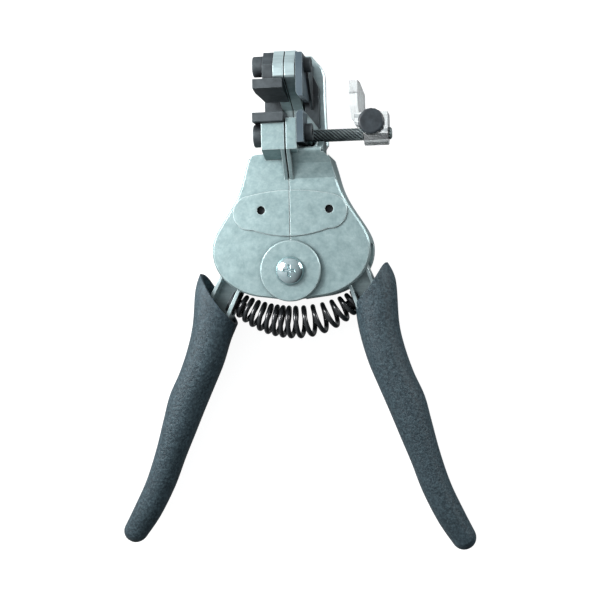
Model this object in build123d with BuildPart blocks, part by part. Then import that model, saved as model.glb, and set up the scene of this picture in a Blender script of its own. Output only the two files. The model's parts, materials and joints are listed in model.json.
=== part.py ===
from build123d import *
import os
from math import cos, hypot, radians, sin

# Automatic wire stripper, lying on its back. +X is right, +Y is towards the jaws and +Z is up,
# out of the front. The origin is on the main pivot's axis, in the plane that the back lies on.
# All sizes are in millimetres.

LEFT, RIGHT = -1, 1
NAMES = {LEFT: "left", RIGHT: "right"}

# Levels through the thickness
FRONT = 20.0                # front face of the two castings
PLATE = 3.5                 # thickness of their front plates
WEB = 3.4                   # thickness of their rear webs
LEVER_BACK, LEVER_FRONT = 0.6, 3.8
HANDLE_BACK, HANDLE_FRONT = 5.0, 15.5
MID = 10.0                  # middle of the handles, the grips and the handle spring
JAW_FRONT = 28.0            # front of the jaw blocks

# Main pivot
BARREL_R = 4.0
FLANGE_R, FLANGE_T = 7.0, 2.4
KNUCKLE_R = 9.5
KNUCKLE_T = 3.0
RUNNING = 0.03              # radial clearance of a running fit
LAP_GAP = 0.3               # gap between parts that turn past each other
WASHER_R, WASHER_T = 11.6, 1.9
SCREW_HEAD_R, SCREW_HEAD_T = 5.3, 3.2
SCREW_SHANK_R = 2.4

# Castings
SPLIT = 0.12                # half the gap between the halves
NECK_TOP = 44.5
NECK_HALF = 15.1
WALL = 2.4
BOSS_HALF_W, BOSS_Y, BOSS_HALF_H, BOSS_RISE = 21.8, 21.9, 8.7, 0.5

# Pocket beside the lower blade
RIM_Y, RIM_Z = 46.2, 25.0
POCKET_X = 11.5

# Handle pins: the mechanism sets the right-hand pin further out than the left-hand one
PIN = {LEFT: (-11.0, 23.2), RIGHT: (15.1, 23.0)}
PIN_R = 1.6
PIN_FRONT = 18.6

# Jaw hinges, about X
HINGE_Y, HINGE_Z = 49.5, 6.5
HINGE_R = 1.5

# Jaws
HEAD_TOP = 82.4
PAD_TOP, PAD_BOTTOM = 71.4, 68.0
UPPER_SCREW_Y, UPPER_SCREW_Z = 77.2, 22.4
# Side view of a lever's arm, with the crease in its front and the slope under it, as (y, z)
ARM = [(84.2, 3.3), (83.6, 15.0), (HEAD_TOP, 24.6), (76.9, 28.6), (72.1, 28.6), (62.8, 6.0),
       (57.5, 4.4), (57.5, 3.3)]
LOWER_PAD_TOP, LOWER_PAD_BOTTOM = 59.0, 55.4
BLADE_X, BLADE_T = 4.5, 2.5
BLADE_OUT = BLADE_X + BLADE_T
ARM_IN, ARM_W = 0.22, 4.1   # inner and outer side of the levers' arms

# Handles and grips: the centreline of the right-hand grip, with its width and depth there
GRIP_LINE = [(28.0, 6.0), (31.2, -12.0), (33.4, -23.0), (36.8, -35.0), (42.4, -49.5), (48.0, -66.0),
             (54.3, -82.5), (60.1, -94.5), (64.4, -101.4), (66.9, -105.4)]
GRIP_WIDTH = [14.8, 14.6, 14.2, 14.9, 14.6, 12.4, 11.0, 10.2, 9.0, 3.6]
GRIP_DEPTH = [19.4, 19.6, 19.6, 19.6, 18.8, 17.5, 16.0, 15.0, 12.6, 5.0]
GRIP_OUTER_TOP = {LEFT: (36.8, 0.6), RIGHT: (35.2, 4.2)}
GRIP_INNER_TOP = {LEFT: (22.4, -20.4), RIGHT: (22.8, -13.2)}
TILT = -0.7                 # the pair of handles rests turned this far about the pivot, in degrees
HANDLE_HALF_W = 5.4
FLANGE = 1.7

# Handle spring
SPRING_END = (23.2, -12.0)
SPRING_SAG = -18.2
SPRING_R = 4.6
SPRING_RISE = SPRING_END[1] - SPRING_SAG
SPRING_ARC_R = (SPRING_END[0] ** 2 + SPRING_RISE ** 2) / (2 * SPRING_RISE)

# Wire stop
ROD_Y, ROD_Z, ROD_R = 51.4, 14.2, 2.4
ROD_START, ROD_END = 8.4, 38.9
STOP_SCREW_X, STOP_SCREW_Y, STOP_SCREW_R = 31.9, 54.8, 0.9


def profile(plane, points, radius=0.0):
    """A closed polygon on a plane, with its corners rounded if a radius is given."""
    with BuildSketch(plane) as sketch:
        with BuildLine():
            Polyline(*points, close=True)
        make_face()
        if radius:
            fillet(sketch.vertices(), radius)
    return sketch.sketch


def disc(plane, radius):
    """A round profile centred on a plane's origin."""
    with BuildSketch(plane) as sketch:
        Circle(radius)
    return sketch.sketch


def across(side, near, far, points, radius=0.0):
    """A profile of (y, z) points for a piece from near to far out from the split, and its width."""
    low = near if side == RIGHT else -far
    return profile(Plane.YZ.offset(low), points, radius), far - near


def on_x(x, y, z):
    """A plane across X, centred on a point of an axis along X."""
    return Plane(origin=(x, y, z), x_dir=(0, 1, 0), z_dir=(1, 0, 0))


def turned(x, y):
    """A point of the handles, turned about the pivot with them."""
    c, s = cos(radians(TILT)), sin(radians(TILT))
    return x * c - y * s, y * c + x * s


def spring_end(side, outward):
    """A plane across the handle spring's end, a distance outward along its line."""
    end_x, end_y = SPRING_END
    run, rise = (SPRING_ARC_R - SPRING_RISE) / SPRING_ARC_R, end_x / SPRING_ARC_R
    origin = turned(side * (end_x + run * outward), end_y + rise * outward)
    return Plane(origin=(*origin, MID), x_dir=(0, 0, 1), z_dir=(*turned(side * run, rise), 0))


def ribbon(points, half_widths):
    """The outline of a band of changing width along a line of points."""
    outer, inner = [], []
    for i, ((x, y), half) in enumerate(zip(points, half_widths)):
        x0, y0 = points[max(i - 1, 0)]
        x1, y1 = points[min(i + 1, len(points) - 1)]
        length = hypot(x1 - x0, y1 - y0)
        nx, ny = (y0 - y1) / length, (x1 - x0) / length
        outer.append((x + nx * half, y + ny * half))
        inner.append((x - nx * half, y - ny * half))
    return outer + inner[::-1]


def save(piece, name):
    """Label a finished piece and write its STEP file."""
    piece.part.label = name
    export_step(piece.part, f"parts/{name}.step")


os.makedirs("parts", exist_ok=True)


# ------------------------------------------------------------------ main pivot
BARREL_TOP = FRONT + 0.1
WASHER_TOP = BARREL_TOP + WASHER_T

with BuildPart() as pivot_barrel:
    with BuildSketch():
        Circle(FLANGE_R)
    extrude(amount=FLANGE_T)
    chamfer(pivot_barrel.edges().group_by(Axis.Z)[0], 0.4)
    with BuildSketch(Plane.XY.offset(FLANGE_T)):
        Circle(BARREL_R)
    extrude(amount=BARREL_TOP - FLANGE_T)
    with BuildSketch(Plane.XY.offset(BARREL_TOP)):
        Circle(SCREW_SHANK_R)
    extrude(amount=FLANGE_T + 3.0 - BARREL_TOP, mode=Mode.SUBTRACT)
save(pivot_barrel, "pivot_barrel")

with BuildPart() as rear_washer:
    with BuildSketch(Plane.XY.offset(FLANGE_T)):
        Circle(KNUCKLE_R - 1.0)
        Circle(BARREL_R + RUNNING, mode=Mode.SUBTRACT)
    extrude(amount=0.5)
save(rear_washer, "rear_washer")

with BuildPart() as pivot_washer:
    with BuildSketch(Plane.XY.offset(BARREL_TOP)):
        Circle(WASHER_R)
        Circle(SCREW_SHANK_R + RUNNING, mode=Mode.SUBTRACT)
    extrude(amount=WASHER_T)
    chamfer(pivot_washer.edges().group_by(Axis.Z)[-1].sort_by(SortBy.RADIUS)[-1], 0.35)
save(pivot_washer, "pivot_washer")

with BuildPart() as pivot_screw:
    with BuildSketch(Plane.XY.offset(FLANGE_T + 4.0)):
        Circle(SCREW_SHANK_R)
    extrude(amount=WASHER_TOP - FLANGE_T - 4.0)
    with BuildSketch(Plane.XY.offset(WASHER_TOP)):
        Circle(SCREW_HEAD_R)
    extrude(amount=SCREW_HEAD_T)
    fillet(pivot_screw.edges().group_by(Axis.Z)[-1], 1.9)
    with BuildSketch(Plane.XY.offset(WASHER_TOP + SCREW_HEAD_T)):
        Rectangle(5.4, 1.3)
        Rectangle(1.3, 5.4)
    extrude(amount=-2.2, taper=14, mode=Mode.SUBTRACT)
save(pivot_screw, "pivot_screw")


# ------------------------------------------------------------------ castings
def casting_outline(side, height):
    """The front view of one casting, from the split to the flared flank."""
    with BuildSketch(Plane.XY.offset(height)) as outline:
        with BuildLine():
            Spline((side * NECK_HALF, NECK_TOP), (side * 17.0, 38.0), (side * 18.7, 32.0),
                   (side * 21.9, 25.3), (side * 25.5, 19.7), (side * 29.3, 13.0), (side * 30.3, 8.0),
                   tangents=[(side * 0.3, -1), (0, -1)])
            corner = TangentArc((side * 30.3, 8.0), (side * 25.2, -3.6), tangent=(0, -1))
            TangentArc(corner @ 1, (side * 11.0, -9.8), tangent=corner % 1)
            Polyline((side * 11.0, -9.8), (side * 3.3, -10.8), (side * SPLIT, 0.0),
                     (side * SPLIT, NECK_TOP), (side * NECK_HALF, NECK_TOP))
        make_face()
    return outline.sketch


def boss_outline(side, height):
    """One half of the raised oval on the front of the castings."""
    low, high = BOSS_Y - BOSS_HALF_H, BOSS_Y + BOSS_HALF_H
    with BuildSketch(Plane.XY.offset(height)) as oval:
        with BuildLine():
            ThreePointArc((-16.0, high - 1.9), (0.0, high), (16.0, high - 1.9))
            ThreePointArc((16.0, high - 1.9), (BOSS_HALF_W, BOSS_Y), (14.5, low + 2.6))
            ThreePointArc((14.5, low + 2.6), (0.0, low), (-14.5, low + 2.6))
            ThreePointArc((-14.5, low + 2.6), (-BOSS_HALF_W, BOSS_Y), (-16.0, high - 1.9))
        make_face()
        with Locations((side * (SPLIT + 15.0), BOSS_Y)):
            Rectangle(30.0, 30.0, mode=Mode.INTERSECT)
    return oval.sketch


def knuckle_levels(side):
    """Where each casting's two knuckles start: they are lapped on the pivot barrel."""
    if side == LEFT:
        return FRONT - KNUCKLE_T, FLANGE_T + 0.7
    return FRONT - 2 * KNUCKLE_T - LAP_GAP, FLANGE_T + 0.7 + KNUCKLE_T + LAP_GAP


def rear_web_region(side):
    """The part of the outline that the rear web fills: it leaves a way for the jaw lever."""
    points = [(0, -14), (31, -14), (31, 33), (12.2, 33), (12.2, 31), (7.8, 31), (7.8, 13), (0, 13)]
    return profile(Plane.XY, [(side * x, y) for x, y in points])


def ring_sector(side, radii, levels, half_angle):
    """A curved rib beside the pivot, as a plan profile and its height."""
    inner, outer = radii
    low, high = levels
    middle = 0 if side == RIGHT else 180
    with BuildSketch(Plane.XY.offset(low)) as sector:
        Circle(outer)
        Circle(inner, mode=Mode.SUBTRACT)
        with BuildLine():
            Polyline((0, 0), *[(40 * cos(radians(middle + a)), 40 * sin(radians(middle + a)))
                               for a in (-half_angle, half_angle)], close=True)
        make_face(mode=Mode.INTERSECT)
    return sector.sketch, high - low


def casting(side):
    """One die-cast half: front plate, flank, rear web, knuckles, neck and lower jaw block."""
    knuckle_front, knuckle_rear = knuckle_levels(side)
    x, y = PIN[side]
    with BuildPart() as body:
        extrude(casting_outline(side, FRONT - PLATE), amount=PLATE)
        rim = body.edges().group_by(Axis.Z)[-1].filter_by(lambda e: abs(e.center().X) > 14)
        chamfer(rim, 0.6)

        # Flank and rear web
        with BuildSketch():
            add(casting_outline(side, 0))
            add(Pos(-side * WALL, 0, 0) * casting_outline(side, 0), mode=Mode.SUBTRACT)
            with Locations((side * 22.0, 27.5)):
                Rectangle(20.0, 35.0, mode=Mode.INTERSECT)
        extrude(amount=FRONT - PLATE)
        with BuildSketch():
            add(casting_outline(side, 0))
            add(rear_web_region(side), mode=Mode.INTERSECT)
        extrude(amount=WEB)

        # Knuckles, each cleared round the other casting's
        if side == RIGHT:
            for level in (0.0, FRONT - KNUCKLE_T - LAP_GAP):
                extrude(disc(Plane.XY.offset(level), KNUCKLE_R + LAP_GAP), amount=KNUCKLE_T * 2.2,
                        mode=Mode.SUBTRACT)
            for levels in ((0.0, knuckle_rear + KNUCKLE_T), (knuckle_front, FRONT - PLATE)):
                rib, height = ring_sector(side, (KNUCKLE_R - 0.5, 13.0), levels, 38)
                extrude(rib, amount=height)
            extrude(disc(Plane.XY, KNUCKLE_R + LAP_GAP), amount=knuckle_rear - LAP_GAP,
                    mode=Mode.SUBTRACT)
        else:
            rib, height = ring_sector(side, (KNUCKLE_R - 0.5, 12.4), (0.0, knuckle_rear + KNUCKLE_T), 38)
            extrude(rib, amount=height)
            extrude(disc(Plane.XY.offset(FRONT - PLATE), KNUCKLE_R + LAP_GAP), amount=PLATE - KNUCKLE_T,
                    mode=Mode.SUBTRACT)
        for level in (knuckle_front, knuckle_rear):
            extrude(disc(Plane.XY.offset(level), KNUCKLE_R), amount=KNUCKLE_T)
        extrude(disc(Plane.XY, KNUCKLE_R - 0.5), amount=FLANGE_T + 0.6, mode=Mode.SUBTRACT)
        extrude(disc(Plane.XY, BARREL_R + RUNNING), amount=FRONT, mode=Mode.SUBTRACT)

        # Raised oval with the bore for the handle pin
        extrude(boss_outline(side, FRONT), amount=BOSS_RISE)
        with Locations((x, y)):
            Cylinder(PIN_R, FRONT + BOSS_RISE, align=(Align.CENTER, Align.CENTER, Align.MIN),
                     mode=Mode.SUBTRACT)

        # Neck, with the lower jaw block standing forward and the lug that holds the hinge pin
        block_w, block_top = (9.0, 55.2) if side == LEFT else (ARM_W + 0.2, 56.8)
        jaw, width = across(side, SPLIT + 0.2, block_w,
                            [(33.5, 5.2), (33.5, FRONT - 0.5), (42.2, FRONT), (45.2, JAW_FRONT),
                             (block_top, JAW_FRONT), (block_top, 10.8), (44.6, 10.8), (44.6, 5.2)])
        extrude(jaw, amount=width)
        add(chin(side))
        gusset, width = across(side, SPLIT + 0.2, 1.7, [(34.5, FRONT - 1), (34.5, FRONT), (45.3, JAW_FRONT),
                                                        (46.0, FRONT)])
        extrude(gusset, amount=width)
        lug, width = across(side, 4.5, 6.8, [(40.0, 5.2), (44.6, 3.9), (HINGE_Y, HINGE_Z - 3.0),
                                             (HINGE_Y + 3.0, HINGE_Z), (HINGE_Y + 3.0, 12.0), (40.0, 12.0)])
        extrude(lug, amount=width)
        if side == RIGHT:
            boss_start = 4.2
            with BuildSketch(on_x(boss_start, ROD_Y, ROD_Z)):
                Circle(3.3)
            extrude(amount=8.2 - boss_start)
            with BuildSketch(on_x(2.6, ROD_Y, ROD_Z)):
                Circle(1.5 + RUNNING)
            extrude(amount=8.0, mode=Mode.SUBTRACT)
        with BuildSketch(on_x(-20.0, HINGE_Y, HINGE_Z)):
            Circle(HINGE_R)
        extrude(amount=40.0, mode=Mode.SUBTRACT)
        add(jaw_seat(side), mode=Mode.SUBTRACT)
        shoulder = [(side * (NECK_HALF - 2.4), NECK_TOP), (side * (NECK_HALF - 1.0), NECK_TOP - 0.5),
                    (side * (NECK_HALF + 0.1), NECK_TOP - 2.0), (side * (NECK_HALF + 1), NECK_TOP + 0.1)]
        extrude(profile(Plane.XY, shoulder), amount=30.0, mode=Mode.SUBTRACT)
    return body


def chin(side):
    """The block below the jaw: on the right it slopes forward to a rim round the blade's pocket."""
    if side == LEFT:
        with BuildPart() as plain:
            block, width = across(side, SPLIT + 0.2, 14.0,
                                  [(35.0, 5.2), (35.0, FRONT - 0.3), (NECK_TOP, FRONT - 0.1),
                                   (NECK_TOP, 5.2)])
            extrude(block, amount=width)
        return plain.part

    with BuildPart() as slope:
        block, width = across(side, SPLIT + 0.2, 20.0,
                              [(33.0, 5.2), (33.0, FRONT - 0.6), (36.5, FRONT + 0.5), (40.5, FRONT + 2.1),
                               (44.0, RIM_Z - 0.4), (44.8, RIM_Z), (45.6, RIM_Z), (RIM_Y, RIM_Z - 0.6),
                               (RIM_Y, 10.8), (NECK_TOP, 10.8), (NECK_TOP, 5.2)])
        extrude(block, amount=width)
        with BuildSketch():
            add(casting_outline(side, 0))
            with Locations((6.5, 44.6)):
                Rectangle(13.0, 3.4)
            with Locations((0, 40.0)):
                Rectangle(2 * SPLIT + 0.4, 30.0, mode=Mode.SUBTRACT)
        extrude(amount=30.0, mode=Mode.INTERSECT)
        # Right end of the rim, and the rounded corners of the pocket
        wall, width = across(side, POCKET_X, 13.4, [(43.0, 10.8), (43.0, 23.0), (45.4, RIM_Z - 0.8),
                                                    (46.6, 23.0), (48.8, 18.4), (48.8, 10.8)])
        extrude(wall, amount=width)
        for x, reach in ((ARM_W + 0.2, 1.3), (POCKET_X, -2.0)):
            with BuildSketch(Plane.XY.offset(10.8)):
                with BuildLine():
                    Polyline((x + reach, RIM_Y), (x, RIM_Y), (x, RIM_Y + abs(reach)))
                    ThreePointArc((x, RIM_Y + abs(reach)), (x + reach * 0.3, RIM_Y + abs(reach) * 0.3),
                                  (x + reach, RIM_Y))
                make_face()
            extrude(amount=RIM_Z - 0.8 - 10.8)
    return slope.part


def jaw_seat(side):
    """The screw hole in the lower jaw block, and on the left the slot for the gripper's tongue."""
    with BuildPart() as seat:
        depth = 9.2 if side == LEFT else 4.6
        start = -depth if side == LEFT else 1.6
        with BuildSketch(on_x(start, 51.0 if side == LEFT else 51.7, 23.0)):
            Circle(1.6)
        extrude(amount=depth - 1.6)
        if side == LEFT:
            tongue, width = across(side, 3.4, 6.0, [(48.4, 19.4), (48.4, 26.0), (55.3, 26.0), (55.3, 19.4)])
            extrude(tongue, amount=width)
    return seat.part


for side in (LEFT, RIGHT):
    save(casting(side), f"{NAMES[side]}_frame")

    with BuildPart() as handle_pin:
        with BuildSketch(Plane.XY.offset(0.4)):
            with Locations(PIN[side]):
                Circle(PIN_R)
        extrude(amount=PIN_FRONT - 0.4)
        chamfer(handle_pin.edges().group_by(Axis.Z)[-1], 0.3)
    save(handle_pin, f"{NAMES[side]}_handle_pin")

    with BuildPart() as hinge_pin:
        with BuildSketch(on_x(1.4 if side == RIGHT else -11.8, HINGE_Y, HINGE_Z)):
            Circle(HINGE_R)
        extrude(amount=10.4)
    save(hinge_pin, f"{NAMES[side]}_hinge_pin")

    with BuildPart() as jaw_spring:
        with BuildSketch(on_x(7.0 if side == RIGHT else -8.6, HINGE_Y, HINGE_Z)):
            Circle(2.7)
            Circle(1.7, mode=Mode.SUBTRACT)
        extrude(amount=1.6)
    save(jaw_spring, f"{NAMES[side]}_jaw_spring")


# ------------------------------------------------------------------ lower jaws
with BuildPart() as lower_gripper:
    pad, width = across(LEFT, 0.5, 12.0, [(LOWER_PAD_BOTTOM, 13.0), (LOWER_PAD_BOTTOM, 29.8),
                                          (LOWER_PAD_TOP, 29.8), (LOWER_PAD_TOP, 13.0)])
    extrude(pad, amount=width)
    chamfer(lower_gripper.edges().filter_by(Axis.X), 0.35)
    # Cross grooves that bite the insulation
    for k in range(8):
        groove, width = across(LEFT, 0.0, 13.0, [(LOWER_PAD_TOP - 0.5, 14.6 + 1.9 * k),
                                                 (LOWER_PAD_TOP + 0.1, 14.1 + 1.9 * k),
                                                 (LOWER_PAD_TOP + 0.1, 15.1 + 1.9 * k)])
        extrude(groove, amount=width, mode=Mode.SUBTRACT)
    tongue, width = across(LEFT, 3.5, 5.9, [(48.6, 19.6), (48.6, 25.8), (LOWER_PAD_BOTTOM + 0.5, 25.8),
                                            (LOWER_PAD_BOTTOM + 0.5, 19.6)])
    extrude(tongue, amount=width)
    with BuildSketch(on_x(-6.5, 51.0, 23.0)):
        Circle(1.6)
    extrude(amount=4.0, mode=Mode.SUBTRACT)
save(lower_gripper, "lower_gripper")


def cap_screw(head_x, head_t, head_r, shank_end, y, z, direction):
    """A socket cap screw along X: the head starts at head_x and stands out in direction."""
    with BuildPart() as screw:
        with BuildSketch(Plane(origin=(head_x, y, z), x_dir=(0, 1, 0), z_dir=(direction, 0, 0))):
            Circle(head_r)
        extrude(amount=head_t)
        outer = screw.faces().sort_by(Axis.X)[-1 if direction > 0 else 0]
        fillet(outer.edges(), 0.5)
        with BuildSketch(Plane(origin=(head_x + direction * head_t, y, z), x_dir=(0, 1, 0),
                               z_dir=(direction, 0, 0))):
            RegularPolygon(head_r * 0.5, 6)
        extrude(amount=-head_t * 0.55, mode=Mode.SUBTRACT)
        with BuildSketch(Plane(origin=(head_x, y, z), x_dir=(0, 1, 0), z_dir=(-direction, 0, 0))):
            Circle(1.6)
        extrude(amount=abs(head_x - shank_end))
    return screw


save(cap_screw(-9.0, 3.4, 4.3, -2.0, 51.0, 23.0, LEFT), "lower_gripper_screw")
save(cap_screw(BLADE_OUT, 2.8, 3.4, 2.0, 51.7, 23.0, RIGHT), "lower_blade_screw")


def blade(z_low, z_high, y_edge, y_back, hole_y, hole_z, up):
    """A stripping blade: a flat plate whose edge has a row of notches, one for each wire size."""
    with BuildPart() as plate:
        body, width = across(RIGHT, BLADE_X, BLADE_OUT,
                             [(y_edge, z_low), (y_edge, z_high), (y_back, z_high), (y_back, z_low)])
        extrude(body, amount=width)
        for k in range(5):
            radius = 0.95 - 0.13 * k
            with BuildSketch(on_x(BLADE_X, y_edge, z_high - 1.6 - 1.85 * k)):
                Circle(radius)
            extrude(amount=BLADE_T, mode=Mode.SUBTRACT)
        bevel = [(y_edge - up * 0.1, BLADE_X - 0.1), (y_edge - up * 0.1, BLADE_X + 0.9),
                 (y_edge + up * 1.5, BLADE_X - 0.1)]
        with BuildSketch(Plane.XY.offset(z_low - 1)):
            with BuildLine():
                Polyline(*[(px, py) for py, px in bevel], close=True)
            make_face()
        extrude(amount=z_high - z_low + 2, mode=Mode.SUBTRACT)
        with BuildSketch(on_x(BLADE_X - 1, hole_y, hole_z)):
            Circle(1.6 + RUNNING)
        extrude(amount=BLADE_T + 2, mode=Mode.SUBTRACT)
    return plate


save(blade(18.0, 28.8, 59.4, 47.6, 51.7, 23.0, -1), "lower_blade")
save(blade(12.0, 28.8, 64.7, 81.0, UPPER_SCREW_Y, UPPER_SCREW_Z, 1), "upper_blade")


# ------------------------------------------------------------------ jaw levers and upper jaws
def jaw_lever(side):
    """The rear plate with hinge ears, a narrow tail and the arm that reaches forward over the mouth."""
    with BuildPart() as lever:
        tail = [(ARM_IN, 14.0), (7.2, 14.0), (7.2, 34.0), (11.2, 36.0)]
        if side == LEFT:
            head = [(11.2, 80.0), (7.5, 84.2), (ARM_IN, 84.2)]
        else:
            head = [(11.4, 46.4), (13.2, 49.2), (12.7, 56.0), (12.4, 66.0), (12.4, 74.0), (12.2, 76.6),
                    (11.6, 78.6), (10.7, 80.2), (9.4, 81.6), (7.3, 84.2), (ARM_IN, 84.2)]
        extrude(profile(Plane.XY.offset(LEVER_BACK), [(side * x, y) for x, y in tail + head]),
                amount=LEVER_FRONT - LEVER_BACK)
        outer = lever.edges().group_by(Axis.Z)[-1].filter_by(lambda e: abs(e.center().X) > 8)
        chamfer(outer.filter_by(lambda e: e.center().Y > 52), 0.6)

        # Arm: an upright web whose front face has a crease, slanted back above it
        web, width = across(side, ARM_IN, ARM_W, ARM)
        extrude(web, amount=width)
        chamfer(lever.edges().filter_by(Axis.X).group_by(Axis.Z)[-1], 0.5)

        # Hinge ears
        for near, far in ((1.3, 4.3), (8.8, 11.6)):
            ear, width = across(side, near, far, [(44.9, LEVER_FRONT - 0.5), (44.9, 5.0), (47.0, 9.2),
                                                  (HINGE_Y, 9.9), (HINGE_Y + 2.6, 8.8),
                                                  (HINGE_Y + 5.0, LEVER_FRONT - 0.5)])
            extrude(ear, amount=width)
        with BuildSketch(on_x(-20.0, HINGE_Y, HINGE_Z)):
            Circle(HINGE_R + RUNNING)
        extrude(amount=40.0, mode=Mode.SUBTRACT)
        # Slot in the plate where the casting's lug reaches back
        slot, width = across(side, 4.3, 8.8, [(43.5, 0.0), (43.5, 5.0), (54.0, 5.0), (54.0, 0.0)])
        extrude(slot, amount=width, mode=Mode.SUBTRACT)
        # Ramp that the handle's cam pushes on
        ramp, width = across(side, 2.0, 7.2, [(27.5, LEVER_FRONT - 0.2), (31.6, 6.8), (32.8, 6.8),
                                              (32.8, LEVER_FRONT - 0.2)])
        extrude(ramp, amount=width)
        # Threaded hole for the jaw screw
        with BuildSketch(on_x(1.4 if side == RIGHT else -4.6, UPPER_SCREW_Y, UPPER_SCREW_Z)):
            Circle(1.6)
        extrude(amount=3.2, mode=Mode.SUBTRACT)
    return lever


for side in (LEFT, RIGHT):
    save(jaw_lever(side), f"{NAMES[side]}_jaw_lever")

with BuildPart() as upper_gripper:
    leg, width = across(LEFT, ARM_W, 8.2, [(71.0, 7.0), (71.0, 27.9), (77.0, 27.9), (HEAD_TOP - 0.3, 24.2),
                                           (HEAD_TOP - 0.3, 7.0)])
    extrude(leg, amount=width)
    chamfer(upper_gripper.edges().filter_by(Axis.Z).sort_by(Axis.X)[0:1], 0.5)
    pad, width = across(LEFT, 0.6, 11.7, [(71.7, 12.0), (PAD_TOP, 29.8), (PAD_BOTTOM, 29.8),
                                          (65.2, 12.0)])
    extrude(pad, amount=width)
    # The pad's outer end is cut back towards the rear
    cut = [(-12.0, 63.0), (-12.0, 67.4), (-7.4, 63.0)]
    extrude(profile(Plane.XY, cut), amount=40.0, mode=Mode.SUBTRACT)
    chamfer(upper_gripper.edges().group_by(Axis.Y)[0], 0.3)
    # Foot that sits on the lever
    foot = [(-ARM_W, 57.6), (-11.0, 57.6), (-11.0, 72.0), (-8.2, 78.0), (-ARM_W, 78.0)]
    extrude(profile(Plane.XY.offset(LEVER_FRONT), foot), amount=7.4 - LEVER_FRONT)
    # Clear of the lever's arm, which carries the pad
    arm, width = across(LEFT, 0.0, ARM_W, ARM)
    extrude(arm, amount=width, mode=Mode.SUBTRACT)
    with BuildSketch(on_x(-9.0, UPPER_SCREW_Y, UPPER_SCREW_Z)):
        Circle(1.6 + RUNNING)
    extrude(amount=6.0, mode=Mode.SUBTRACT)
save(upper_gripper, "upper_gripper")
save(cap_screw(-8.2, 4.2, 3.9, -1.8, UPPER_SCREW_Y, UPPER_SCREW_Z, LEFT), "upper_gripper_screw")

with BuildPart() as blade_holder:
    # Foot on the lever, widening below the blade, and the cheek that the blade bears on
    foot = [(BLADE_X, 80.0), (8.0, 80.0), (8.0, 76.2), (10.4, 71.0), (10.3, 55.4), (9.9, 55.4),
            (5.0, 61.8), (BLADE_X, 68.0)]
    extrude(profile(Plane.XY.offset(LEVER_FRONT), foot), amount=7.4 - LEVER_FRONT)
    cheek, width = across(RIGHT, BLADE_OUT, 8.0, [(78.6, 7.4), (78.6, 14.0), (75.6, 18.6), (73.0, 18.6),
                                                  (68.0, 13.0), (62.5, 7.4)])
    extrude(cheek, amount=width)
save(blade_holder, "upper_blade_holder")
save(cap_screw(BLADE_OUT, 2.7, 2.8, 2.0, UPPER_SCREW_Y, UPPER_SCREW_Z, RIGHT), "upper_blade_screw")
with BuildPart() as blade_shim:
    shim, width = across(RIGHT, ARM_W, BLADE_X, [(73.0, 14.0), (73.0, 27.0), (80.0, 24.5), (80.0, 14.0)])
    extrude(shim, amount=width)
    with BuildSketch(on_x(4.0, UPPER_SCREW_Y, UPPER_SCREW_Z)):
        Circle(1.6 + RUNNING)
    extrude(amount=2.0, mode=Mode.SUBTRACT)
save(blade_shim, "upper_blade_shim")


# ------------------------------------------------------------------ handles and grips
def handle_line(side):
    """The handle's centreline, from its pin into the grip."""
    return [PIN[side]] + [turned(side * x, y) for x, y in GRIP_LINE[2:7]]


BAR_HALF_W = [3.9, HANDLE_HALF_W, HANDLE_HALF_W, 5.0, 4.0, 2.9]
HEAD_R = 4.2


def handle_bar(side, height):
    """The plan of the handle without its cam."""
    return profile(Plane.XY.offset(height), ribbon(handle_line(side), BAR_HALF_W))


def handle(side):
    """A channel-section handle, open to the front, with a bored head and a cam beside it."""
    x, y = PIN[side]
    line = handle_line(side)
    neck_x, neck_y = line[1]
    with BuildPart() as lever:
        extrude(handle_bar(side, HANDLE_BACK), amount=HANDLE_FRONT - HANDLE_BACK)
        extrude(disc(Plane(origin=(x, y, HANDLE_BACK)), HEAD_R), amount=HANDLE_FRONT - HANDLE_BACK)
        cam = [(x, y + HEAD_R), (side * 5.0, 27.4), (side * 3.6, 25.8), (side * 6.0, 20.5), (x, y - HEAD_R)]
        extrude(profile(Plane.XY.offset(HANDLE_BACK), cam), amount=5.0)

        # Recess between the flanges, from below the head to just inside the grip
        top = (x + (neck_x - x) * 0.3, y + (neck_y - y) * 0.3)
        low = (line[1][0] + (line[2][0] - line[1][0]) * 0.35, line[1][1] + (line[2][1] - line[1][1]) * 0.35)
        recess = ribbon([top, line[1], low], [HANDLE_HALF_W - FLANGE - 0.2] + [HANDLE_HALF_W - FLANGE] * 2)
        extrude(profile(Plane.XY.offset(HANDLE_BACK + 2.6), recess, 1.2),
                amount=HANDLE_FRONT - HANDLE_BACK, mode=Mode.SUBTRACT)

        # Window in the inner flange for the end of the spring
        extrude(disc(spring_end(side, -6.0), SPRING_R + 0.5), amount=8.2, mode=Mode.SUBTRACT)
        extrude(disc(Plane(origin=(x, y, 0)), PIN_R + RUNNING), amount=FRONT, mode=Mode.SUBTRACT)
    return lever


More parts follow.
